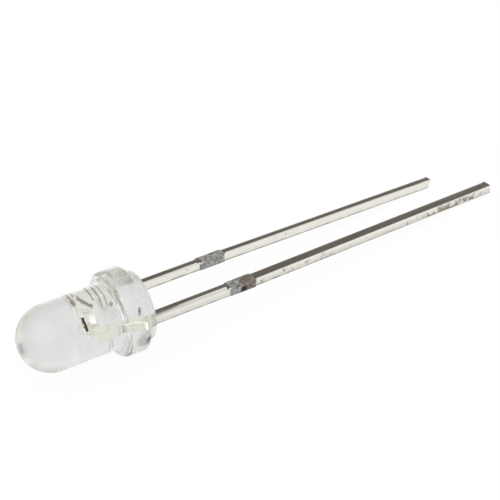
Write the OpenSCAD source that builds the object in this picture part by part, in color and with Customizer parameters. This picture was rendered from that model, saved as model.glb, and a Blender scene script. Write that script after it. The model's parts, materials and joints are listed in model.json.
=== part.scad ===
// Through-hole light emitting diode, 3 mm size, clear lens, two leads.
// Each piece is drawn upright: height runs along +Z from the seating face up to the dome, and the leads run
// down along -Z. Then the whole diode is laid on its side, as it comes to rest on a table: on the back edge
// of its flange and on the tips of both leads. The origin stays at the middle of the seating face.

/* [Lens] */
// Diameter of the barrel and the dome
lens_d = 3; // [2.9:0.05:3.2]
// Height of the straight barrel, from the flange to the start of the dome
barrel_h = 2.71; // [2.4:0.01:4]
// Diameter of the flange
flange_d = 3.9; // [3.7:0.05:4.5]
// Thickness of the flange's rim
flange_t = 1.14; // [0.9:0.02:1.6]
// Height of the crown that the resin leaves behind the rim
crown_h = 0.4; // [0.2:0.05:0.6]
// Diameter of the crown at the seating face
crown_d = 3.16; // [3.14:0.02:3.3]
// Diameter of the crown where it leaves the rim
crown_foot_d = 3.44; // [3.34:0.02:3.5]
// How far the flat that marks the cathode side stands off the barrel
flat_proud = 0.03; // [0.01:0.01:0.3]
// Radius of the rim's rounded edge on the side of the barrel
front_edge_r = 0.3; // [0.05:0.01:0.35]
// Radius of the rim's rounded edge on the side of the crown
back_edge_r = 0.16; // [0.05:0.01:0.2]
// Radius of the fillet between the barrel and the flange
root_fillet_r = 0.08; // [0.04:0.01:0.15]
// How far the cut of the flat runs past both faces of the flange, and so trims that fillet's foot
flat_overrun = 0.1; // [0.08:0.01:0.2]

/* [Leads] */
// Distance between the middles of the two leads at the seating face
lead_pitch = 2.54; // [2.5:0.01:2.56]
// Thickness of the sheet that both leads are stamped from
sheet_t = 0.4; // [0.3:0.05:0.45]
// Width of the anode lead
anode_w = 0.5; // [0.4:0.01:0.52]
// Width of the cathode lead
cathode_w = 0.4; // [0.35:0.01:0.44]
// Length of the anode lead, the long one, from the seating face
anode_len = 19.2; // [10:0.1:30]
// Length of the cathode lead, from the seating face
cathode_len = 17.2; // [9:0.1:28]
// Distance from the seating face to the stub of the cut-off tie bar
stub_start = 3.8; // [1:0.1:6]
// Length of the stub
stub_len = 1.3; // [0.8:0.05:2]
// How far the sheared ends of the tie bar stand proud of a lead
stub_proud = 0.05; // [0.02:0.01:0.15]
// Angle by which each lead leans towards the other below the stub
toe_in = 0.95; // [0:0.05:2]
// How far the sheared tip of the cathode lead is cut back on its underside
cathode_undercut = 0.19; // [0.02:0.01:0.3]
// Bevel on the sheared tip of the anode lead
anode_tip_bevel = 0.04; // [0.01:0.01:0.1]

/* [Lead frame in the resin] */
// Resin left between the wall of the barrel and the lead frame
barrel_cover = 0.36; // [0.3:0.02:0.5]
// Height at which the leads start to step inwards
step_start = 0.5; // [0.3:0.05:0.6]
// Height at which the step inwards ends
step_end = 1.1; // [1:0.05:1.3]
// Width of the cathode's neck, above the step
neck_w = 0.55; // [0.45:0.01:0.65]
// Height at which the neck starts to reach over to the lens axis
reach_start = 1.75; // [1.5:0.05:1.85]
// Height at which the head has reached its full width
reach_end = 2.25; // [2.1:0.05:2.3]
// How far the shoulder of the head lies below the rim of the cup
shoulder_drop = 0.08; // [0.04:0.01:0.2]
// Distance from the lens axis to the ear at the outer end of the head
ear_start = 0.56; // [0.54:0.01:0.7]
// How far the ear stands above the rim of the cup
ear_rise = 0.09; // [0.02:0.01:0.15]
// Width of the cathode's head, under the cup
head_w = 0.5; // [0.4:0.01:0.55]
// How far the head runs up into the foot of the cup
head_seat = 0.1; // [0.08:0.01:0.14]
// Width of the anode's post
post_w = 0.36; // [0.3:0.01:0.42]
// How far the top of the anode's post lies below the rim of the cup
post_drop = 0.11; // [0.05:0.01:0.15]
// How far the flag at the top of the post reaches past it, towards the cup
flag_reach = 0.14; // [0.05:0.01:0.18]
// Depth of the flag
flag_h = 0.35; // [0.25:0.05:0.6]

/* [Reflector cup] */
// Height of the rim of the cup
cup_rim_h = 2.85; // [2.84:0.01:2.95]
// Depth of the cup
cup_depth = 0.18; // [0.16:0.01:0.3]
// Inner diameter of the cup at its rim
cup_mouth_d = 0.84; // [0.74:0.01:0.88]
// Inner diameter of the cup at its floor
cup_floor_d = 0.56; // [0.54:0.01:0.64]
// Wall of the cup
cup_wall = 0.06; // [0.05:0.01:0.09]
// Height of the tapered outside of the cup
cup_outer_h = 0.5; // [0.44:0.01:0.6]

/* [Chip and wire] */
// Width of the chip
chip_w = 0.3; // [0.24:0.01:0.34]
// Height of the chip
chip_h = 0.2; // [0.1:0.01:0.21]
// Thickness of the adhesive under the chip
glue_t = 0.02; // [0.01:0.005:0.03]
// How far the adhesive squeezes out past the corners of the chip
glue_spread = 0.01; // [0:0.005:0.015]
// Diameter of the bond wire
wire_d = 0.025; // [0.02:0.005:0.03]
// Diameter of the squashed ball that bonds the wire to the chip
ball_d = 0.09; // [0.07:0.01:0.11]
// Height of the squashed ball
ball_h = 0.03; // [0.02:0.005:0.04]
// Radius of the loop of the wire
loop_r = 0.2; // [0.12:0.01:0.24]
// Angle through which the loop turns
loop_angle = 135; // [134:1:138]
// Length of the flattened end that bonds the wire to the post
stitch_l = 0.1; // [0.08:0.01:0.12]

/* [Hidden] */
$fn = 96;

lens_r = lens_d / 2;
flange_r = flange_d / 2;
crown_r = crown_d / 2;
crown_foot_r = crown_foot_d / 2;
flat_offset = lens_r + flat_proud;
flange_top = crown_h + flange_t;
dome_start = flange_top + barrel_h;

stub_end = stub_start + stub_len;
cathode_underside_len = cathode_len - cathode_undercut;

// The lead frame inside the resin
frame_r = lens_r - barrel_cover;
cup_floor_h = cup_rim_h - cup_depth;
cup_outer_r = cup_mouth_d / 2 + cup_wall;
cup_base_h = cup_rim_h - cup_outer_h;
cup_base_r = cup_floor_d / 2 + cup_wall;
post_inner = frame_r - post_w;
post_top = cup_rim_h - post_drop;

// The chip on its adhesive, and the wire: up from the chip, round the loop and straight down to the post
glue_top = cup_floor_h + glue_t;
glue_d = chip_w * sqrt(2) + 2 * glue_spread;
chip_top = glue_top + chip_h;
stitch_t = wire_d / 2;
stitch_y = post_inner - flag_reach + stitch_l;
stitch_h = post_top + stitch_t;
loop_run = stitch_y - loop_r * (1 - cos(loop_angle));
loop_base_h = stitch_h + loop_run * tan(loop_angle - 90) - loop_r * sin(loop_angle);
wire_sides = 8;
loop_steps = 8;

// Length of the blank of the cathode lead that the shear takes off
tip_waste = 0.4;

// At rest the back edge of the rim and the lowest corner of each lead's tip touch the table.
// Lengths are counted from the middle of that rounded edge, and heights from the middle of the lens.
edge_h = crown_h + back_edge_r;
anode_reach = anode_len + edge_h;
cathode_reach = cathode_underside_len + edge_h;
anode_corner_y = -(lead_y(anode_len) - anode_w / 2 + anode_tip_bevel);
cathode_corner_y = lead_y(cathode_underside_len) + cathode_w / 2;
roll_a = cathode_corner_y * anode_reach - anode_corner_y * cathode_reach;
roll_b = sheet_t / 2 * (anode_reach - cathode_reach);
roll_c = flange_r * (anode_reach - cathode_reach);
rest_roll = asin(roll_c / sqrt(roll_a * roll_a + roll_b * roll_b)) - atan2(roll_b, roll_a);
anode_drop = anode_corner_y * sin(rest_roll) + sheet_t / 2 * cos(rest_roll);
rest_pitch = atan2(flange_r - anode_drop, anode_reach);

// Lays an upright piece on its side, as it comes to rest
module laid() {
    rotate([0, rest_pitch, 0]) rotate([-rest_roll, 0, 0]) rotate([0, -90, 0]) children();
}

// A piece stamped from the sheet, from its outline of [distance from the axis, height] points
module stamped(outline) {
    rotate([90, 0, 90]) linear_extrude(height = sheet_t, center = true) polygon(outline);
}

// Half section of the rim: a block whose two outer edges are rounded
module rim_section() {
    polygon([
        [0, crown_h],
        [flange_r - back_edge_r, crown_h],
        [flange_r, edge_h],
        [flange_r, flange_top - front_edge_r],
        [flange_r - front_edge_r, flange_top],
        [0, flange_top]
    ]);
    translate([flange_r - back_edge_r, edge_h]) circle(r = back_edge_r);
    translate([flange_r - front_edge_r, flange_top - front_edge_r]) circle(r = front_edge_r);
}

// Half section of the fillet between the barrel and the flange
module root_section() {
    difference() {
        translate([0, flange_top]) square([lens_r + root_fillet_r, root_fillet_r]);
        translate([lens_r + root_fillet_r, flange_top + root_fillet_r]) circle(r = root_fillet_r);
    }
}

// Half section of the lens
module lens_section() {
    polygon([[0, 0], [crown_r, 0], [crown_foot_r, crown_h], [0, crown_h]]);
    rim_section();
    root_section();
    translate([0, flange_top]) square([lens_r, barrel_h]);
    intersection() {
        translate([0, dome_start]) circle(r = lens_r);
        translate([0, dome_start]) square([lens_r, lens_r]);
    }
}

// The resin alone, with the flat on the cathode side of its rim
module resin() {
    difference() {
        rotate_extrude() lens_section();
        translate([-flange_d, flat_offset, -flat_overrun])
            cube([2 * flange_d, flange_d, flange_top + 2 * flat_overrun]);
    }
}

// Distance from the axis to the middle of a lead, at a distance from the seating face below the stub
function lead_y(distance) = lead_pitch / 2 - (distance - stub_end) * tan(toe_in);

// The part of a lead's outline that is below the seating face, on the side where the pitch is positive
function lead_outline(w, len, bevel) = [
    [lead_pitch / 2 + w / 2, 0],
    [lead_pitch / 2 + w / 2, -stub_start],
    [lead_pitch / 2 + w / 2 + stub_proud, -stub_start],
    [lead_pitch / 2 + w / 2 + stub_proud, -stub_end],
    [lead_pitch / 2 + w / 2, -stub_end],
    for (b = bevel) [lead_y(len) + w / 2 - b[0], -len + b[1]],
    for (b = bevel) [lead_y(len) - w / 2 + b[1], -len + b[0]],
    [lead_pitch / 2 - w / 2, -stub_end],
    [lead_pitch / 2 - w / 2 - stub_proud, -stub_end],
    [lead_pitch / 2 - w / 2 - stub_proud, -stub_start],
    [lead_pitch / 2 - w / 2, -stub_start],
    [lead_pitch / 2 - w / 2, 0]
];

// The cathode's outline in the resin: a neck, and a head that reaches over to the axis, carries the cup and ends
// in a raised ear
cathode_frame = [
    [lead_pitch / 2 - cathode_w / 2, step_start],
    [frame_r - neck_w, step_end],
    [frame_r - neck_w, reach_start],
    [-head_w / 2, reach_end],
    [-head_w / 2, cup_base_h + head_seat],
    [0, cup_base_h + head_seat],
    [0, cup_rim_h - shoulder_drop],
    [ear_start, cup_rim_h - shoulder_drop],
    [ear_start, cup_rim_h + ear_rise],
    [frame_r, cup_rim_h + ear_rise],
    [frame_r, step_end],
    [lead_pitch / 2 + cathode_w / 2, step_start]
];

// The anode's outline in the resin: a step inwards, the post, and the flag that the wire is bonded to
anode_frame = [
    [lead_pitch / 2 - anode_w / 2, step_start],
    [post_inner, step_end],
    [post_inner, post_top - flag_h - flag_reach],
    [post_inner - flag_reach, post_top - flag_h],
    [post_inner - flag_reach, post_top],
    [frame_r, post_top],
    [frame_r, step_end],
    [lead_pitch / 2 + anode_w / 2, step_start]
];

// The cup, coined into the head: a tapered outside, and a tapered hollow with a flat floor
module cup_outside() {
    translate([0, 0, cup_base_h]) cylinder(r1 = cup_base_r, r2 = cup_outer_r, h = cup_outer_h);
}

module cup_hollow() {
    translate([0, 0, cup_floor_h]) cylinder(d1 = cup_floor_d, d2 = cup_mouth_d, h = cup_depth);
}

// What the shear takes off the blank of the cathode lead: it leans, so the tip ends cut back on the underside
module sheared_off() {
    lean = cathode_undercut / 2;
    translate([0, lead_pitch, 0]) rotate([90, 0, 0]) linear_extrude(height = lead_pitch) polygon([
        [sheet_t, -cathode_len - lean],
        [-sheet_t, -cathode_len + 3 * lean],
        [-sheet_t, -cathode_len - 2 * tip_waste],
        [sheet_t, -cathode_len - 2 * tip_waste]
    ]);
}

module cathode_lead_shape() {
    difference() {
        union() {
            stamped(concat(lead_outline(cathode_w, cathode_len + tip_waste, [[0, 0]]), cathode_frame));
            cup_outside();
        }
        cup_hollow();
        sheared_off();
    }
}

module anode_lead_shape() {
    mirror([0, 1, 0]) stamped(concat(
        lead_outline(anode_w, anode_len, [[0, anode_tip_bevel], [anode_tip_bevel, 0]]),
        anode_frame));
}

module chip_adhesive_shape() {
    translate([0, 0, cup_floor_h]) cylinder(d = glue_d, h = glue_t);
}

module led_chip_shape() {
    translate([-chip_w / 2, -chip_w / 2, glue_top]) cube([chip_w, chip_w, chip_h]);
}

// Rings along the wire, as [distance towards the anode, height, how far it has turned]
wire_rings = [
    [0, chip_top + ball_h / 2, 0],
    for (i = [0 : loop_steps]) let (turn = loop_angle * i / loop_steps)
        [loop_r * (1 - cos(turn)), loop_base_h + loop_r * sin(turn), turn],
    [stitch_y, stitch_h, loop_angle]
];

// A corner of a ring, which stands square to the wire
function wire_corner(ring, side) =
    let (a = (side + 0.5) * 360 / wire_sides, r = wire_d / 2)
    [r * sin(a), -ring[0] - r * cos(a) * cos(ring[2]), ring[1] - r * cos(a) * sin(ring[2])];

// The wire is swept through its rings, in the plane of the leads, from its ball on the chip to its stitch
module bond_wire_shape() {
    last = (len(wire_rings) - 1) * wire_sides;
    translate([0, 0, chip_top]) cylinder(d = ball_d, h = ball_h);
    polyhedron(
        points = [for (ring = wire_rings, side = [0 : wire_sides - 1]) wire_corner(ring, side)],
        faces = [
            [for (side = [0 : wire_sides - 1]) side],
            for (i = [0 : len(wire_rings) - 2], side = [0 : wire_sides - 1])
                let (a = i * wire_sides + side, b = i * wire_sides + (side + 1) % wire_sides)
                [a, a + wire_sides, b + wire_sides, b],
            [for (side = [wire_sides - 1 : -1 : 0]) last + side]
        ]
    );
    translate([0, -stitch_y, post_top]) cylinder(d = stitch_l, h = wire_d);
}

// Thin cores inside the buried pieces, across the faces where they only touch, so that their hollows are one
module buried_cores() {
    translate([0, 0, cup_floor_h - glue_t]) cylinder(d = wire_d, h = chip_top - cup_floor_h + glue_t + ball_h / 2);
    translate([0, -stitch_y, post_top - wire_d]) cylinder(d = wire_d, h = wire_d + stitch_t);
}

module lens_body() {
    color([0.93, 0.94, 0.95, 0.35]) laid() difference() {
        resin();
        anode_lead_shape();
        cathode_lead_shape();
        chip_adhesive_shape();
        led_chip_shape();
        bond_wire_shape();
        buried_cores();
    }
}

module anode_lead() {
    color([0.78, 0.77, 0.73]) laid() anode_lead_shape();
}

module cathode_lead() {
    color([0.72, 0.71, 0.69]) laid() cathode_lead_shape();
}

module chip_adhesive() {
    color([0.70, 0.70, 0.72]) laid() chip_adhesive_shape();
}

module led_chip() {
    color([0.30, 0.24, 0.20]) laid() led_chip_shape();
}

module bond_wire() {
    color([0.85, 0.68, 0.30]) laid() bond_wire_shape();
}

lens_body();
anode_lead();
cathode_lead();
chip_adhesive();
led_chip();
bond_wire();
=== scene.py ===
import math

import bpy
from mathutils import Matrix, Vector
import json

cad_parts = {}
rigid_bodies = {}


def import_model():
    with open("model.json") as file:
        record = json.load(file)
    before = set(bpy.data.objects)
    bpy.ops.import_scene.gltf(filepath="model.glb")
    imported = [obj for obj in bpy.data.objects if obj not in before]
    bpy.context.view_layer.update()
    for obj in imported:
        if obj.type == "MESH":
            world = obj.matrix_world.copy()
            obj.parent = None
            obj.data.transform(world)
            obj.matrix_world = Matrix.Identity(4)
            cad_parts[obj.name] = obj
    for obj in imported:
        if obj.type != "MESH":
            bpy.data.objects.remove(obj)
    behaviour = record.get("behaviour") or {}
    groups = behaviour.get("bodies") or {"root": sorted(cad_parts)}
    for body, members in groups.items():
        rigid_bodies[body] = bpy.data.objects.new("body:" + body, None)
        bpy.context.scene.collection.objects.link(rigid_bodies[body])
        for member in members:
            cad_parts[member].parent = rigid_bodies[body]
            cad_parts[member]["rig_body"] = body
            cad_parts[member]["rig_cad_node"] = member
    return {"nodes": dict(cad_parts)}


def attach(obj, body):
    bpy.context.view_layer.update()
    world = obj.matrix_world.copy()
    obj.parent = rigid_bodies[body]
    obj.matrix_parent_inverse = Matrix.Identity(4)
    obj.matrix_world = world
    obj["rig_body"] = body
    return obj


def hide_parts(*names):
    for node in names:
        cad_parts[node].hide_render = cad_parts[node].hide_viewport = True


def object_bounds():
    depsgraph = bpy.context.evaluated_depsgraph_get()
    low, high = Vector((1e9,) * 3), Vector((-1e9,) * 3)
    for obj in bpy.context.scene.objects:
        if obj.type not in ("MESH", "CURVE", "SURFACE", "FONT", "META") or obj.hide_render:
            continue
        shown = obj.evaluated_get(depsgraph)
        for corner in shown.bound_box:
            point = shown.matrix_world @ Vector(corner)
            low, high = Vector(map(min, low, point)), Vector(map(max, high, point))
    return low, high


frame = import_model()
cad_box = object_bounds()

mm = 0.001
sheet_t, lead_pitch, toe_in = 0.4, 2.54, 0.95
sheared_edge = 0.018
# The tie bar's torn stub, how much later the tear starts on the upper face, how rough it is, and
# how far the roughness runs past both ends
stub_from, stub_to, stub_late = 3.8, 5.1, 0.19
torn_rough, torn_past = 0.006, 0.03
# The stretches from the resin to the stub and from the stub to near each tip
root_stretch, tail_from, cathode_to, anode_to = (0.12, 3.7), 5.2, 17.0, 19.0
cathode_w, anode_w = 0.4, 0.5
# Where each line is coined across the cathode's head: height and distance from the axis at its ends
groove_first, groove_count, groove_pitch = 1.4, 3, 0.275
coined_lines = [
    ((groove_first + k * groove_pitch, 0.5), (groove_first + k * groove_pitch, 1.2))
    for k in range(groove_count)
]
crease = ((2.13, 0.33), (2.59, 0.80))
coined_lines += [crease, ((2.62, 0.8), (2.68, 1.2))]
coined_w, coined_depth = 0.13, 0.022
# The line along the ear, the head's upper outer corner, given in the same way
ear = ((2.8, 0.55), (2.9, 1.2))
# How near, in millimetres, a vertex lies to the place it is picked by
snug = 0.001
# The diode's own directions as it lies: down the leads, towards the cathode, and out of the sheet
lay_down = (
    Matrix.Rotation(math.radians(5.293492), 4, "Y")
    @ Matrix.Rotation(math.radians(-5.548217), 4, "X")
    @ Matrix.Rotation(math.radians(-90), 4, "Y")
)
along = -lay_down.col[2].to_3d()
to_cathode = lay_down.col[1].to_3d()
out_of_sheet = lay_down.col[0].to_3d()


def only(obj):
    bpy.ops.object.select_all(action="DESELECT")
    obj.select_set(True)
    bpy.context.view_layer.objects.active = obj


def merged_copy(node, name):
    """A copy of a CAD node under a new name, with its loose triangles merged into faces."""
    piece = frame["nodes"][node].copy()
    piece.data = frame["nodes"][node].data.copy()
    piece.name = piece.data.name = name
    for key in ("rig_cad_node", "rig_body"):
        if key in piece:
            del piece[key]
    bpy.context.scene.collection.objects.link(piece)
    only(piece)
    bpy.ops.object.mode_set(mode="EDIT")
    bpy.ops.mesh.select_all(action="SELECT")
    bpy.ops.mesh.remove_doubles(threshold=0.0005 * mm)
    bpy.ops.mesh.customdata_custom_splitnormals_clear()
    bpy.ops.mesh.dissolve_limited(angle_limit=math.radians(1))
    bpy.ops.object.mode_set(mode="OBJECT")
    return piece


def select_where(piece, kind, test):
    """Selects the faces or vertices of the piece by a test of their middle, in millimetres."""
    bpy.ops.mesh.select_mode(type="VERT" if kind == "vertices" else "FACE")
    bpy.ops.mesh.select_all(action="DESELECT")
    bpy.ops.object.mode_set(mode="OBJECT")
    for part in getattr(piece.data, "vertices" if kind == "vertices" else "polygons"):
        part.select = test((part.co if kind == "vertices" else part.center) / mm)
    bpy.ops.object.mode_set(mode="EDIT")


def cut_faces(piece, place, normal, which):
    """Cuts the faces of the piece that a test picks out by a plane given in millimetres."""
    select_where(piece, "faces", which)
    bpy.ops.mesh.bisect(plane_co=place * mm, plane_no=normal, threshold=0.00001 * mm)


def press(piece, where, move):
    """Moves the vertices of the piece that a test picks out."""
    select_where(piece, "vertices", where)
    bpy.ops.transform.translate(value=move * mm)


def stamped_lead(node, name, seed, pressed):
    """The lead of a CAD node, pressed, with its sheared edges broken and its stub torn."""

    def on_stub(p, late=0.0):
        return stub_from - torn_past + late < p.dot(along) < stub_to + torn_past

    def torn(p):
        return on_stub(p, stub_late if p.dot(out_of_sheet) > 0.3 * sheet_t else 0)

    lead = merged_copy(node, name)
    bpy.ops.object.mode_set(mode="EDIT")
    pressed(lead)
    bpy.ops.mesh.select_mode(type="EDGE")
    bpy.ops.mesh.select_all(action="DESELECT")
    bpy.ops.mesh.edges_select_sharp(sharpness=math.radians(40))
    bpy.ops.mesh.bevel(offset=sheared_edge * mm, segments=2, profile=0.5, affect="EDGES")
    select_where(lead, "faces", on_stub)
    bpy.ops.mesh.subdivide(number_cuts=12)
    select_where(lead, "vertices", torn)
    bpy.ops.transform.vertex_random(offset=torn_rough * mm, uniform=1, seed=seed)
    bpy.ops.object.mode_set(mode="OBJECT")
    bpy.ops.object.shade_smooth_by_angle(angle=math.radians(15))
    bpy.ops.object.modifier_add(type="WEIGHTED_NORMAL")
    lead.modifiers[-1].keep_sharp = True
    bpy.ops.object.modifier_apply(modifier=lead.modifiers[-1].name)
    return lead


def link(tree, source, target):
    tree.links.new(source, target)


def node_of(tree, kind, **values):
    node = tree.nodes.new(kind)
    for key, value in values.items():
        setattr(node, key, value)
    return node


def maths(tree, operation, first, second=None, third=None, clamp=False):
    """A sum worked out at each point of the surface, from sockets and plain numbers."""
    node = node_of(tree, "ShaderNodeMath", operation=operation, use_clamp=clamp)
    for socket, value in zip(node.inputs, (first, second, third)):
        if value is None:
            continue
        if hasattr(value, "is_output"):
            link(tree, value, socket)
        else:
            socket.default_value = value
    return node.outputs[0]


def spread(tree, value, low, high, to_low=0.0, to_high=1.0):
    """Turns a value that runs from low to high into one that runs smoothly between two others."""
    node = node_of(tree, "ShaderNodeMapRange", interpolation_type="SMOOTHSTEP")
    link(tree, value, node.inputs["Value"])
    for name, number in (
        ("From Min", low),
        ("From Max", high),
        ("To Min", to_low),
        ("To Max", to_high),
    ):
        node.inputs[name].default_value = number
    return node.outputs["Result"]


def blend_colours(tree, factor, first, second):
    node = node_of(tree, "ShaderNodeMix", data_type="RGBA")
    link(tree, factor, node.inputs[0])
    for socket, value in ((node.inputs[6], first), (node.inputs[7], second)):
        if hasattr(value, "is_output"):
            link(tree, value, socket)
        else:
            socket.default_value = (*value, 1)
    return node.outputs[2]


def place_on(tree):
    """Where each point of the surface lies, in metres from the origin."""
    return node_of(tree, "ShaderNodeTexCoord").outputs["Object"]


def distance_from(tree, place, where):
    """How far each point of the surface is from one place."""
    node = node_of(tree, "ShaderNodeVectorMath", operation="DISTANCE")
    link(tree, place, node.inputs[0])
    node.inputs[1].default_value = where
    return node.outputs["Value"]


def tin_plate(name, seed, handled):
    """Tin over steel: drawn lines along the lead, grey mottling, dark rubbed places where it was
    handled, a bare rough stub, and bright silver on the part inside the resin."""
    dull_tin, bright_tin = (0.77, 0.755, 0.675), (0.95, 0.935, 0.87)
    # Grey for the torn lower edge of a sheared side, also used as painted shade towards the bottom
    # of the side
    torn_tin_and_side_shade, rubbed_tin, speck = (0.36, 0.35, 0.31), (0.34, 0.31, 0.25), (0.14, 0.115, 0.095)
    # The anode's silver is a little yellower
    yellowed = 0.05 * handled
    dull_silver, bright_silver = (0.96, 0.96, 0.89 - yellowed), (1.0, 1.0, 0.95 - yellowed)
    brown_on_ear, coined, painted_crease_shadow = (0.62, 0.53, 0.49), (0.5, 0.5, 0.45), (0.30, 0.29, 0.25)
    dark_steel, pale_steel, browned = (0.13, 0.13, 0.125), (0.50, 0.50, 0.47), (0.17, 0.12, 0.09)
    # A charred spot on the stub, then a brown one on the ear: its place, its radius and its colour
    spots = (
        ((-0.06, -1.57, -4.47), 0.24, (0.02, 0.015, 0.012)),
        ((0.2, 0.68, 2.86), 0.13, (0.40, 0.33, 0.30)),
    )
    material = bpy.data.materials.new(name)
    material.use_nodes = True
    tree = material.node_tree
    metal = tree.nodes["Principled BSDF"]
    # Millimetres out of the sheet, towards the cathode, and up to the dome
    turned = node_of(tree, "ShaderNodeMapping", vector_type="POINT")
    turned.inputs["Rotation"].default_value = lay_down.to_3x3().inverted().to_euler()
    turned.inputs["Scale"].default_value = (1 / mm, 1 / mm, 1 / mm)
    link(tree, place_on(tree), turned.inputs["Vector"])
    parts = node_of(tree, "ShaderNodeSeparateXYZ")
    link(tree, turned.outputs[0], parts.inputs[0])
    out, outward = parts.outputs["X"], parts.outputs["Y"]
    down = maths(tree, "MULTIPLY", parts.outputs["Z"], -1)

    def grain(scale, detail, stretch, shift):
        """Noise at a scale per millimetre, drawn out along the lead when the stretch is under 1."""
        drawn = node_of(tree, "ShaderNodeMapping", vector_type="POINT")
        drawn.inputs["Scale"].default_value = (1, 1, stretch)
        drawn.inputs["Location"].default_value = (shift, seed, shift)
        link(tree, turned.outputs[0], drawn.inputs["Vector"])
        noise = node_of(tree, "ShaderNodeTexNoise")
        noise.inputs["Scale"].default_value = scale
        noise.inputs["Detail"].default_value = detail
        link(tree, drawn.outputs[0], noise.inputs["Vector"])
        return noise.outputs["Fac"]

    on_upper_face = spread(tree, out, 0.3 * sheet_t, sheet_t / 2 - 0.01)

    def between(low, high, soft, late=0.0):
        """1 between two distances from the seating face, with ragged ends. It may start later on the
        upper face."""
        ragged = maths(tree, "MULTIPLY_ADD", grain(5, 2, 1, 3.1), 2 * soft, down)
        start = maths(tree, "MULTIPLY_ADD", on_upper_face, -late, ragged)
        rise = spread(tree, start, low + soft / 2, low + 1.5 * soft)
        fall = spread(tree, ragged, high + soft / 2, high + 1.5 * soft, 1, 0)
        return maths(tree, "MULTIPLY", rise, fall)

    stub = between(stub_from, stub_to, 0.12, late=stub_late * (1 - 0.6 * handled))
    # A sheared side is grey and torn along its lower edge, and painted shade darkens it downwards
    on_side = spread(tree, out, sheet_t / 2 - 0.03, sheet_t / 2, 1, 0)
    ragged_out = maths(tree, "MULTIPLY_ADD", grain(6, 4, 0.4, 4.4), 0.16, out)
    torn_edge = spread(tree, ragged_out, -0.09, -0.03, 1, 0)
    side_shade_downwards = spread(tree, ragged_out, -0.02, 0.28, 0.14 + 0.2 * handled, 0)
    torn_edge_and_side_shade = maths(tree, "MAXIMUM", torn_edge, side_shade_downwards)
    drawn_lines = grain(9, 3, 0.12, 0.0)
    mottle = grain(2.2, 4, 0.5, 7.7)
    # Silver above the seating face, with painted shade in the lines that are coined across the head
    silvered = spread(tree, down, -0.5, -0.1, 1, 0)

    def along_line(ends, width):
        """1 on a line between two places in the sheet: height and distance from the axis."""
        end_soft, wander = 0.08, 0.12
        (low_h, low_y), (high_h, high_y) = ends
        length = math.hypot(high_h - low_h, high_y - low_y)
        line_h, line_y = (high_h - low_h) / length, (high_y - low_y) / length
        run = maths(tree, "MULTIPLY_ADD", down, -line_h, -low_h * line_h - low_y * line_y)
        run = maths(tree, "MULTIPLY_ADD", outward, line_y, run)
        aside = maths(tree, "MULTIPLY_ADD", down, line_y, low_h * line_y - low_y * line_h)
        aside = maths(tree, "MULTIPLY_ADD", outward, line_h, aside)
        aside = maths(tree, "MULTIPLY_ADD", grain(7, 2, 1, 6.6), wander, aside)
        aside = maths(tree, "ABSOLUTE", maths(tree, "ADD", aside, -wander / 2))
        begun = spread(tree, run, 0, end_soft)
        unended = spread(tree, run, length - end_soft, length, 1, 0)
        within = maths(tree, "MULTIPLY", begun, unended)
        near = spread(tree, aside, width * 0.2, width * 0.5, 1, 0)
        return maths(tree, "MULTIPLY", within, near)

    in_lines = along_line(coined_lines[0], coined_w)
    for ends in coined_lines[1:]:
        in_lines = maths(tree, "MAXIMUM", in_lines, along_line(ends, coined_w))
    # A painted shadow along the crease, in patches
    in_crease = along_line(crease, 1.8 * coined_w)
    patchy = spread(tree, grain(8, 2, 1, 2.9), 0.35, 0.6, 0.45, 1)
    in_crease = maths(tree, "MULTIPLY", in_crease, patchy)
    on_ear = along_line(ear, 2 * coined_w)
    # Rubbed places and specks on its side from handling, densest near the tip
    touched = between(15.6, 18.2, 0.5)
    for low, high, soft, share in ((12.9, 18.9, 0.4, 0.4), (5.2, 9.5, 0.6, 0.42)):
        lightly = maths(tree, "MULTIPLY", between(low, high, soft), share)
        touched = maths(tree, "MAXIMUM", touched, lightly)
    touched = maths(tree, "MULTIPLY", touched, handled)
    rubbed = maths(tree, "MULTIPLY_ADD", touched, 0.24, grain(4, 3, 0.9, 12.3))
    rubbed = maths(tree, "MULTIPLY", spread(tree, rubbed, 0.62, 0.82), on_side)
    rubbed = maths(tree, "MULTIPLY", rubbed, spread(tree, out, -0.05, 0.2, 1, 0.3))
    specks = maths(tree, "MULTIPLY", rubbed, spread(tree, grain(11, 3, 0.8, 5.1), 0.48, 0.66))
    plate = blend_colours(tree, mottle, dull_tin, bright_tin)
    # The torn lower edge of each side, with painted shade growing towards it
    plate = blend_colours(tree, torn_edge_and_side_shade, plate, torn_tin_and_side_shade)
    plate = blend_colours(tree, rubbed, plate, rubbed_tin)
    plate = blend_colours(tree, specks, plate, speck)
    silver = blend_colours(tree, mottle, dull_silver, bright_silver)
    # Brown along the ear
    silver = blend_colours(tree, on_ear, silver, brown_on_ear)
    # Painted shade in the coined lines
    silver = blend_colours(tree, in_lines, silver, coined)
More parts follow.
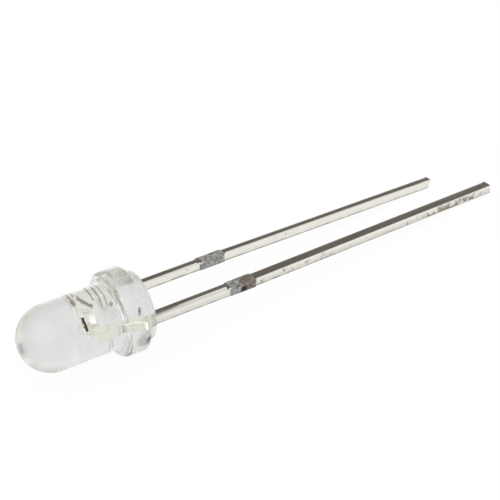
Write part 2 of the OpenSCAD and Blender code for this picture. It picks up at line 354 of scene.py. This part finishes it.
    # The painted shadow along the crease
    silver = blend_colours(tree, in_crease, silver, painted_crease_shadow)
    plate = blend_colours(tree, silvered, plate, silver)
    crystals = spread(tree, grain(8, 5, 1, 5.5), 0.25, 0.75)
    torn = blend_colours(tree, crystals, dark_steel, pale_steel)
    surface = blend_colours(tree, stub, plate, torn)
    burnt = maths(tree, "MULTIPLY", between(4.4, stub_to + 0.06, 0.1), handled)
    uneven = spread(tree, grain(6, 3, 1, 1.7), 0.35, 0.65, 0.5, 0.95)
    burnt = maths(tree, "MULTIPLY", burnt, uneven)
    surface = blend_colours(tree, burnt, surface, browned)
    for where, radius, colour in spots:
        distance = distance_from(tree, turned.outputs[0], where)
        spotted = spread(tree, distance, 0.3 * radius, radius, 1, 0)
        surface = blend_colours(tree, spotted, surface, colour)
    link(tree, surface, metal.inputs["Base Color"])
    link(tree, maths(tree, "MULTIPLY_ADD", stub, -0.6, 1), metal.inputs["Metallic"])
    rough = maths(tree, "MULTIPLY_ADD", mottle, 0.12, 0.12)
    rough = maths(tree, "MULTIPLY_ADD", specks, 0.25, rough)
    rough = maths(tree, "MULTIPLY_ADD", silvered, -0.06, rough)
    rough = maths(tree, "MULTIPLY_ADD", stub, 0.5, rough, clamp=True)
    link(tree, rough, metal.inputs["Roughness"])
    relief = maths(tree, "MULTIPLY_ADD", drawn_lines, 0.5, mottle)
    crumbled = maths(tree, "MULTIPLY", grain(16, 3, 1, 9.2), stub)
    relief = maths(tree, "MULTIPLY_ADD", crumbled, 6, relief)
    bump = node_of(tree, "ShaderNodeBump")
    bump.inputs["Strength"].default_value = 0.6
    bump.inputs["Distance"].default_value = 0.006 * mm
    link(tree, relief, bump.inputs["Height"])
    link(tree, bump.outputs[0], metal.inputs["Normal"])
    return material


def coin_head(lead):
    """Coins shallow lines across both faces of the cathode's head, which key it into the resin."""
    half = coined_w / 2
    for side in (1, -1):
        level = side * sheet_t / 2

        def on_face(p):
            return abs(p.dot(out_of_sheet) - level) < 0.03 and p.dot(along) < 0

        for (low_h, low_y), (high_h, high_y) in coined_lines:
            start = -along * low_h + to_cathode * low_y
            line = (-along * (high_h - low_h) + to_cathode * (high_y - low_y)).normalized()
            square = line.cross(out_of_sheet)
            length = math.hypot(high_h - low_h, high_y - low_y)
            for step in (-half, 0, half):
                cut_faces(lead, start + square * step, square, on_face)
            for step in (0, half, length - half, length):
                cut_faces(lead, start + line * step, line, on_face)
            press(
                lead,
                lambda p: abs((p - start).dot(square)) < snug
                and half - snug < (p - start).dot(line) < length - half + snug
                and abs(p.dot(out_of_sheet) - level) < snug,
                -out_of_sheet * side * coined_depth,
            )


def roll_edge(lead, row, start, end, edge, width, drop):
    """Draws an edge of the upper face down, between two distances from the seating face. The row is
    1 for the cathode and -1 for the anode, and the edge is how far it lies towards the cathode from
    the lead's middle."""

    def in_sheet(distance, aside):
        middle = lead_pitch / 2 - max(0, distance - stub_to) * math.tan(math.radians(toe_in))
        return along * distance + to_cathode * (row * middle + aside)

    def on_face(p):
        return p.dot(out_of_sheet) > sheet_t / 2 - 0.05 and start - 1 < p.dot(along)

    first, last = in_sheet(start, edge), in_sheet(end, edge)
    square = (last - first).normalized().cross(out_of_sheet)
    cut_faces(lead, in_sheet(start, edge - math.copysign(width, edge)), square, on_face)
    for distance in (start, end):
        cut_faces(lead, along * distance, along, on_face)
    press(
        lead,
        lambda p: start - 10 * snug < p.dot(along) < end + 10 * snug
        and abs((p - first).dot(square)) < 10 * snug
        and p.dot(out_of_sheet) > sheet_t / 2 - snug,
        -out_of_sheet * drop,
    )


def press_cathode(lead):
    coin_head(lead)
    for start, end in (root_stretch, (tail_from, cathode_to)):
        roll_edge(lead, 1, start, end, -cathode_w / 2, width=0.09, drop=0.031)
        roll_edge(lead, 1, start, end, cathode_w / 2, width=0.09, drop=0.018)


def press_anode(lead):
    roll_edge(lead, -1, *root_stretch, -anode_w / 2, width=0.22, drop=0.075)
    roll_edge(lead, -1, *root_stretch, anode_w / 2, width=0.08, drop=0.018)
    roll_edge(lead, -1, tail_from, anode_to, anode_w / 2, width=0.12, drop=0.02)


for node, seed, pressed, finish, pattern_seed, handled in (
    ("cathode_lead", 3, press_cathode, "tin_on_cathode", 0.0, 0.0),
    ("anode_lead", 8, press_anode, "tin_on_anode", 21.0, 1.0),
):
    lead = stamped_lead(node, node + "_plated", seed, pressed)
    lead.data.materials.clear()
    lead.data.materials.append(tin_plate(finish, pattern_seed, handled))
    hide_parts(node)
    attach(lead, "root")

# The adhesive: a dab of silver filled epoxy on the floor of the cup. The chip is pressed into it
# and it is baked hard, so it is dull, grainy and squeezed out in a low ring round the chip.
flake_mm, pale_flake, dark_paste = 1 / 60, (0.80, 0.80, 0.81), (0.48, 0.48, 0.50)
silver = bpy.data.materials.new("silver_filled_epoxy")
silver.use_nodes = True
tree = silver.node_tree
paste = tree.nodes["Principled BSDF"]
paste.inputs["Metallic"].default_value = 0.6
flakes = node_of(tree, "ShaderNodeTexVoronoi")
flakes.inputs["Scale"].default_value = 1 / (flake_mm * mm)
link(tree, place_on(tree), flakes.inputs["Vector"])
from_flake = flakes.outputs["Distance"]
link(tree, blend_colours(tree, from_flake, pale_flake, dark_paste), paste.inputs["Base Color"])
link(tree, spread(tree, from_flake, 0, 1, 0.35, 0.75), paste.inputs["Roughness"])
adhesive = frame["nodes"]["chip_adhesive"]
adhesive.data.materials.clear()
adhesive.data.materials.append(silver)

# The chip: a sawn cube of semiconductor with polished sides. A round contact of metal film in the
# middle of its top takes the wire.
chip_top, contact_r, contact_soft = 2.89, 0.055, 0.004
dark_crystal, pale_crystal = (0.035, 0.027, 0.024), (0.10, 0.075, 0.06)
metal_film = (0.86, 0.70, 0.38)
sawn = bpy.data.materials.new("sawn_semiconductor")
sawn.use_nodes = True
tree = sawn.node_tree
crystal = tree.nodes["Principled BSDF"]
crystal.inputs["Specular IOR Level"].default_value = 0.15
from_middle = distance_from(tree, place_on(tree), -along * chip_top * mm)
contact = spread(tree, from_middle, (contact_r - contact_soft) * mm, contact_r * mm, 1, 0)
saw_marks = node_of(tree, "ShaderNodeTexNoise")
saw_marks.inputs["Scale"].default_value = 24 / mm
sawn_face = blend_colours(tree, saw_marks.outputs["Fac"], dark_crystal, pale_crystal)
link(tree, blend_colours(tree, contact, sawn_face, metal_film), crystal.inputs["Base Color"])
link(tree, contact, crystal.inputs["Metallic"])
sawn_rough = spread(tree, saw_marks.outputs["Fac"], 0.3, 0.7, 0.2, 0.4)
link(tree, sawn_rough, crystal.inputs["Roughness"])
chip = frame["nodes"]["led_chip"]
chip.data.materials.clear()
chip.data.materials.append(sawn)

# The bond wire: drawn gold, 0.025 mm thick. A capillary melts its end to a ball on the chip's
# contact, draws it up and over in a loop, and presses it flat on the flag of the anode's post.
wire_d, ball_d, ball_h = 0.025, 0.09, 0.03
loop_r, loop_turn, loop_steps = 0.2, 135, 24
stitch_y, stitch_h, stitch_l = 0.74, 2.7525, 0.1
pale_gold, bright_gold = (0.96, 0.86, 0.64), (1.0, 0.93, 0.76)
loop_run = stitch_y - loop_r * (1 - math.cos(math.radians(loop_turn)))
loop_h = (
    stitch_h
    + loop_run * math.tan(math.radians(loop_turn - 90))
    - loop_r * math.sin(math.radians(loop_turn))
)
route = [(0, chip_top + ball_h / 2)]
for step in range(loop_steps + 1):
    turn = math.radians(loop_turn * step / loop_steps)
    route.append((loop_r * (1 - math.cos(turn)), loop_h + loop_r * math.sin(turn)))
route.append((stitch_y, stitch_h))
bpy.ops.curve.primitive_nurbs_path_add()
wire = bpy.context.object
wire.data.splines.clear()
line = wire.data.splines.new("POLY")
line.points.add(len(route) - 1)
for point, (reach, height) in zip(line.points, route):
    point.co = (0, -reach * mm, height * mm, 1)
wire.data.bevel_depth = wire_d / 2 * mm
wire.data.bevel_resolution = 6
wire.data.use_fill_caps = True
bpy.ops.object.convert(target="MESH")
bpy.ops.mesh.primitive_uv_sphere_add(
    segments=32,
    ring_count=16,
    radius=ball_d / 2 * mm,
    location=(0, 0, (chip_top + ball_h / 2) * mm),
)
ball = bpy.context.object
ball.scale = (1, 1, ball_h / ball_d)
bpy.ops.mesh.primitive_uv_sphere_add(
    segments=32,
    ring_count=16,
    radius=stitch_l / 2 * mm,
    location=(0, -stitch_y * mm, (stitch_h - 0.005) * mm),
)
stitch = bpy.context.object
stitch.scale = (0.8, 1, 0.2)
for part in (wire, ball, stitch):
    part.select_set(True)
bpy.context.view_layer.objects.active = wire
bpy.ops.object.join()
wire.name = wire.data.name = "gold_bond_wire"
wire.data.transform(lay_down)
bpy.ops.object.shade_smooth_by_angle(angle=math.radians(40))
gold = bpy.data.materials.new("drawn_gold")
gold.use_nodes = True
tree = gold.node_tree
drawn_gold = tree.nodes["Principled BSDF"]
drawn_gold.inputs["Metallic"].default_value = 1
wavering = node_of(tree, "ShaderNodeTexNoise")
wavering.inputs["Scale"].default_value = 9 / mm
gold_tone = blend_colours(tree, wavering.outputs["Fac"], pale_gold, bright_gold)
link(tree, gold_tone, drawn_gold.inputs["Base Color"])
gold_rough = spread(tree, wavering.outputs["Fac"], 0.3, 0.7, 0.16, 0.3)
link(tree, gold_rough, drawn_gold.inputs["Roughness"])
wire.data.materials.clear()
wire.data.materials.append(gold)
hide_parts("bond_wire")
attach(wire, "root")

# The lens: water-clear epoxy, poured into a polished cup of a mould with the lead frame hanging in
# it, and cured. The mould gives the dome, the barrel and the flange with its flat. The crown behind
# the rim is the free surface.
lens_r, dome_from = 1.5, 4.25
flange_r, flange_top, crown_top = 1.95, 1.54, 0.4
front_edge_r, back_edge_r, root_r = 0.3, 0.16, 0.08
crown_foot_r, crown_r, flat_at = 1.72, 1.58, 1.53
bends_light, clear_tone = 1.5, (0.95, 0.955, 0.95)


def quarter(centre_r, centre_h, radius, start, end, steps):
    """The places along a quarter round of the profile: distance from the axis, and height."""
    for step in range(steps + 1):
        turn = math.radians(start + (end - start) * step / steps)
        yield centre_r + radius * math.cos(turn), centre_h + radius * math.sin(turn)


bpy.ops.object.select_all(action="DESELECT")
bpy.ops.mesh.primitive_uv_sphere_add(
    segments=192, ring_count=96, radius=lens_r * mm, location=(0, 0, dome_from * mm)
)
lens = bpy.context.object
lens.name = lens.data.name = "lens_of_clear_epoxy"
bpy.ops.object.transform_apply(location=True, rotation=True, scale=True)
bpy.ops.object.mode_set(mode="EDIT")
select_where(lens, "vertices", lambda p: p.z < dome_from - snug)
bpy.ops.mesh.delete(type="VERT")
select_where(lens, "vertices", lambda p: p.z < dome_from + snug)
profile = [(lens_r, h) for h in (3.6, 2.9, 2.2)]
profile += quarter(lens_r + root_r, flange_top + root_r, root_r, 180, 270, 8)
profile += quarter(flange_r - front_edge_r, flange_top - front_edge_r, front_edge_r, 90, 0, 12)
profile += quarter(flange_r - back_edge_r, crown_top + back_edge_r, back_edge_r, 0, -90, 8)
profile += [(crown_foot_r, crown_top), (crown_r, 0)]
radius, height = lens_r, dome_from
for next_radius, next_height in profile:
    bpy.ops.mesh.extrude_region_move(
        TRANSFORM_OT_translate={"value": (0, 0, (next_height - height) * mm)}
    )
    bpy.ops.transform.resize(
        value=(next_radius / radius, next_radius / radius, 1), center_override=(0, 0, 0)
    )
    radius, height = next_radius, next_height
bpy.ops.mesh.edge_face_add()
bpy.ops.mesh.inset(thickness=0.1 * mm)
bpy.ops.mesh.select_all(action="SELECT")
bpy.ops.mesh.bisect(
    plane_co=(0, flat_at * mm, 0),
    plane_no=(0, 1, 0),
    use_fill=True,
    clear_outer=True,
    threshold=0.00001 * mm,
)
bpy.ops.mesh.select_all(action="SELECT")
bpy.ops.mesh.normals_make_consistent(inside=False)
bpy.ops.object.mode_set(mode="OBJECT")
lens.data.transform(lay_down)
bpy.ops.object.shade_smooth_by_angle(angle=math.radians(35))
epoxy = bpy.data.materials.new("water_clear_epoxy")
epoxy.use_nodes = True
tree = epoxy.node_tree
resin = tree.nodes["Principled BSDF"]
resin.inputs["Transmission Weight"].default_value = 1
resin.inputs["IOR"].default_value = bends_light
polish = node_of(tree, "ShaderNodeTexNoise")
polish.inputs["Scale"].default_value = 0.9 / mm
link(tree, place_on(tree), polish.inputs["Vector"])
# The cured surface is a little wavy and less polished on the flange and the crown, and use has
# rubbed the dome dull
risen = node_of(tree, "ShaderNodeVectorMath", operation="DOT_PRODUCT")
link(tree, place_on(tree), risen.inputs[0])
risen.inputs[1].default_value = -along / mm
height_on_lens = risen.outputs["Value"]
dull_foot = spread(tree, height_on_lens, 1.4, 2.0, 0.08, 0)
dull_dome = spread(tree, height_on_lens, 3.9, 4.5, 0, 0.22)
gloss = spread(tree, polish.outputs["Fac"], 0.3, 0.7, 0.06, 0.11)
rough = maths(tree, "ADD", gloss, maths(tree, "MAXIMUM", dull_foot, dull_dome))
link(tree, rough, resin.inputs["Roughness"])
waves = node_of(tree, "ShaderNodeTexNoise")
waves.inputs["Scale"].default_value = 1.1 / mm
waves.inputs["Detail"].default_value = 2
link(tree, place_on(tree), waves.inputs["Vector"])
calm = spread(tree, height_on_lens, 1.4, 1.9, 1, 0.25)
wavy = maths(tree, "MULTIPLY", waves.outputs["Fac"], calm)
# Grey patches on the rim of the flange and the crown, then small dark ones, as in the photo: these
# are painted reflections of the leads seen in the resin. Each has its place in the diode's own
# directions, its radius, its strength where it is weakest, and its colour.
tone = clear_tone
for where, radius, least, colour in (
    ((-0.45, -1.85, 0.72), 0.68, 0.55, (0.32, 0.315, 0.305)),
    ((-1.12, -1.14, 0.3), 0.5, 0.55, (0.10, 0.095, 0.09)),
    ((-0.55, -1.87, 0.6), 0.17, 0.9, (0.03, 0.03, 0.03)),
    ((-0.44, -1.89, 0.52), 0.17, 0.9, (0.03, 0.03, 0.03)),
    ((1.02, -1.665, 0.81), 0.1, 0.4, (0.10, 0.10, 0.10)),
    ((0.925, -1.717, 0.849), 0.11, 0.8, (0.06, 0.06, 0.06)),
    ((0.82, -1.77, 0.89), 0.1, 0.4, (0.10, 0.10, 0.10)),
    ((1.225, -0.86, 1.71), 0.12, 0.6, (0.18, 0.18, 0.18)),
    ((1.185, -0.91, 1.77), 0.12, 0.6, (0.18, 0.18, 0.18)),
):
    distance = distance_from(tree, place_on(tree), lay_down.to_3x3() @ Vector(where) * mm)
    painted_reflection = spread(tree, distance, 0.35 * radius * mm, radius * mm, 1, 0)
    smear = spread(tree, waves.outputs["Fac"], 0.3, 0.6, least, 1)
    tone = blend_colours(tree, maths(tree, "MULTIPLY", painted_reflection, smear), tone, colour)
link(tree, tone, resin.inputs["Base Color"])
swell = node_of(tree, "ShaderNodeBump")
swell.inputs["Strength"].default_value = 1
swell.inputs["Distance"].default_value = 0.05 * mm
link(tree, wavy, swell.inputs["Height"])
link(tree, swell.outputs[0], resin.inputs["Normal"])
lens.data.materials.append(epoxy)
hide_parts("lens_body")
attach(lens, "root")

# The studio: a white sweep, a large soft lamp above and to the left, a smaller one at the right,
# and a dark card behind, out of view, whose reflection draws the tops of the leads.
sweep_size, paper_white, seen_share, dimmer_through_lens = 0.8, (0.97, 0.97, 0.97), 0.93, 0.24
card_at, card_size = (0.09, 0.14, 0.085), (0.5, 0.15, 1)
pale_foot, dark_card_top = (0.42, 0.40, 0.38), (0.135, 0.12, 0.11)
under_it = cad_box[0].z - 0.002 * mm
bpy.ops.mesh.primitive_plane_add(size=sweep_size, location=(0, 0, under_it))
floor = bpy.context.object
floor.name = "floor"
white = bpy.data.materials.new("white_sweep")
white.use_nodes = True
tree = white.node_tree
paper = tree.nodes["Principled BSDF"]
paper.inputs["Base Color"].default_value = (*paper_white, 1)
paper.inputs["Roughness"].default_value = 0.9
paper.inputs["Specular IOR Level"].default_value = 0
# It glows evenly where it is looked at or mirrored, and a little less where it is seen through the
# lens
glow = node_of(tree, "ShaderNodeEmission")
rays = node_of(tree, "ShaderNodeLightPath")
through_lens = rays.outputs["Is Transmission Ray"]
dimmed = maths(tree, "MULTIPLY_ADD", through_lens, -dimmer_through_lens, 1)
link(tree, dimmed, glow.inputs["Strength"])
seen = maths(tree, "MAXIMUM", rays.outputs["Is Camera Ray"], rays.outputs["Is Glossy Ray"])
seen = maths(tree, "MAXIMUM", seen, through_lens)
mix = node_of(tree, "ShaderNodeMixShader")
link(tree, maths(tree, "MULTIPLY", seen, seen_share), mix.inputs[0])
link(tree, paper.outputs[0], mix.inputs[1])
link(tree, glow.outputs[0], mix.inputs[2])
link(tree, mix.outputs[0], tree.nodes["Material Output"].inputs["Surface"])
floor.data.materials.append(white)

bpy.ops.mesh.primitive_plane_add(size=1, location=card_at, rotation=(math.radians(90), 0, 0))
card = bpy.context.object
card.name = "dark_card"
card.scale = card_size
card.visible_camera = card.visible_transmission = False
card.visible_diffuse = card.visible_shadow = False
dark = bpy.data.materials.new("dark_card")
dark.use_nodes = True
tree = dark.node_tree
tree.nodes.remove(tree.nodes["Principled BSDF"])
shade = node_of(tree, "ShaderNodeEmission")
# Paler towards its foot, so that the rolled far edges of the leads show paler than their tops
card_parts = node_of(tree, "ShaderNodeSeparateXYZ")
link(tree, place_on(tree), card_parts.inputs[0])
upwards = spread(tree, card_parts.outputs["Y"], -0.5, -0.2)
card_tone = blend_colours(tree, upwards, pale_foot, dark_card_top)
link(tree, card_tone, shade.inputs["Color"])
link(tree, shade.outputs[0], tree.nodes["Material Output"].inputs["Surface"])
card.data.materials.append(dark)

# An even light from all round, whiter where it is looked at, mirrored or seen through the lens
world = bpy.data.worlds.new("soft_light")
bpy.context.scene.world = world
world.use_nodes = True
tree = world.node_tree
light = tree.nodes["Background"]
light.inputs["Color"].default_value = (1, 1, 1, 1)
light.inputs["Strength"].default_value = 0.7
seen_white = node_of(tree, "ShaderNodeBackground")
seen_white.inputs["Strength"].default_value = 1
rays = node_of(tree, "ShaderNodeLightPath")
seen = maths(tree, "MAXIMUM", rays.outputs["Is Camera Ray"], rays.outputs["Is Glossy Ray"])
seen = maths(tree, "MAXIMUM", seen, rays.outputs["Is Transmission Ray"])
mix = node_of(tree, "ShaderNodeMixShader")
link(tree, seen, mix.inputs[0])
link(tree, light.outputs[0], mix.inputs[1])
link(tree, seen_white.outputs[0], mix.inputs[2])
link(tree, mix.outputs[0], tree.nodes["World Output"].inputs["Surface"])

for name, place, size, power in (
    ("softbox_left", (-0.16, -0.12, 0.3), 0.5, 0.9),
    ("softbox_right", (0.25, -0.1, 0.25), 0.25, 0.1),
):
    bpy.ops.object.light_add(type="AREA", location=place)
    lamp = bpy.context.object
    lamp.name = name
    lamp.data.size = size
    lamp.data.energy = power
    lamp.rotation_euler = (-Vector(place)).to_track_quat("-Z", "Y").to_euler()

# The camera that was fitted to the photo's outline and lead edges
bpy.ops.object.camera_add()
camera = bpy.context.object
right = Vector((0.834147, -0.549017, -0.052701))
up = Vector((0.382796, 0.5075, 0.771952))
back = Vector((-0.397069, -0.664096, 0.633492))
stand = Vector((-18.854458, -41.308177, 39.591346)) * mm
turned_to_it = Matrix((right, up, back)).transposed().to_4x4()
camera.matrix_world = Matrix.Translation(stand) @ turned_to_it
camera.data.sensor_width = 36
camera.data.lens = 98.8686
camera.data.clip_start, camera.data.clip_end = 0.005, 5
bpy.context.scene.camera = camera
bpy.context.scene.view_settings.view_transform = "Standard"
# Light finds its way out of the clear resin only after many turns inside it
bpy.context.scene.cycles.max_bounces = 32
bpy.context.scene.cycles.glossy_bounces = 16
bpy.context.scene.cycles.transmission_bounces = 24

import json
